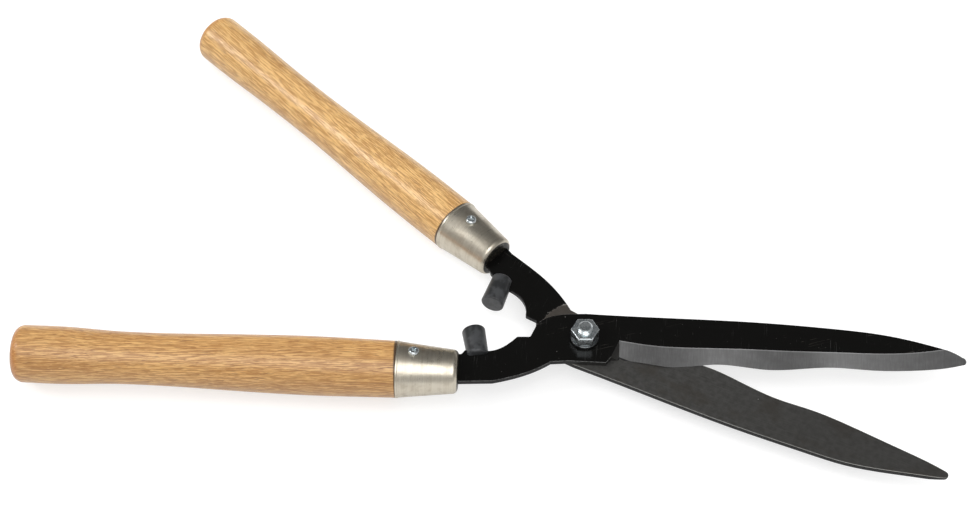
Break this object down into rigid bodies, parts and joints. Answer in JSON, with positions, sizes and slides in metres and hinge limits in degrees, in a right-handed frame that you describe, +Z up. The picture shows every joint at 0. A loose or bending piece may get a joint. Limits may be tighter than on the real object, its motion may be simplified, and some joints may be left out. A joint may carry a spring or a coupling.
{
  "type": "hedge shears",
  "caption": "Two-handed garden shears with long wavy blades on a bolted pivot, bent steel arms, rubber bumpers and turned wooden handles in steel ferrules.",
  "frame": {"origin": "on the pivot axis, at the outer face of the pivot bolt's head", "axes": "+X along the front blade from the pivot to its tip, +Y away from the front blade's cutting side, +Z up along the pivot bolt towards its nut"},
  "size_m": [0.4952, 0.3121, 0.0336],
  "materials": {
    "blade_steel": "glossy black enamel on stamped steel, with satin ground bevels and a bare inner face",
    "zinc_hardware": "bright zinc plate",
    "lacquered_wood": "clear gloss lacquer over a light open-pored hardwood",
    "nickel_ferrule": "satin nickel plate with turning marks",
    "bumper_rubber": "matt moulded rubber"
  },
  "bodies": {
    "front_half": {"front_blade": "blade_steel", "pivot_bolt": "zinc_hardware", "pivot_nut": "zinc_hardware", "lock_washer": "zinc_hardware", "front_handle": "lacquered_wood", "front_ferrule": "nickel_ferrule", "front_ferrule_screw": "zinc_hardware", "front_bumper": "bumper_rubber"},
    "rear_half": {"rear_blade": "blade_steel", "rear_handle": "lacquered_wood", "rear_ferrule": "nickel_ferrule", "rear_ferrule_screw": "zinc_hardware", "rear_bumper": "bumper_rubber"}
  },
  "joints": [
    {"name": "blade_pivot", "type": "hinge", "parent": "front_half", "child": "rear_half", "pos_m": [0, 0, 0.00838], "axis": [0, 0, 1], "range_deg": [-75, 20.4]}
  ]
}
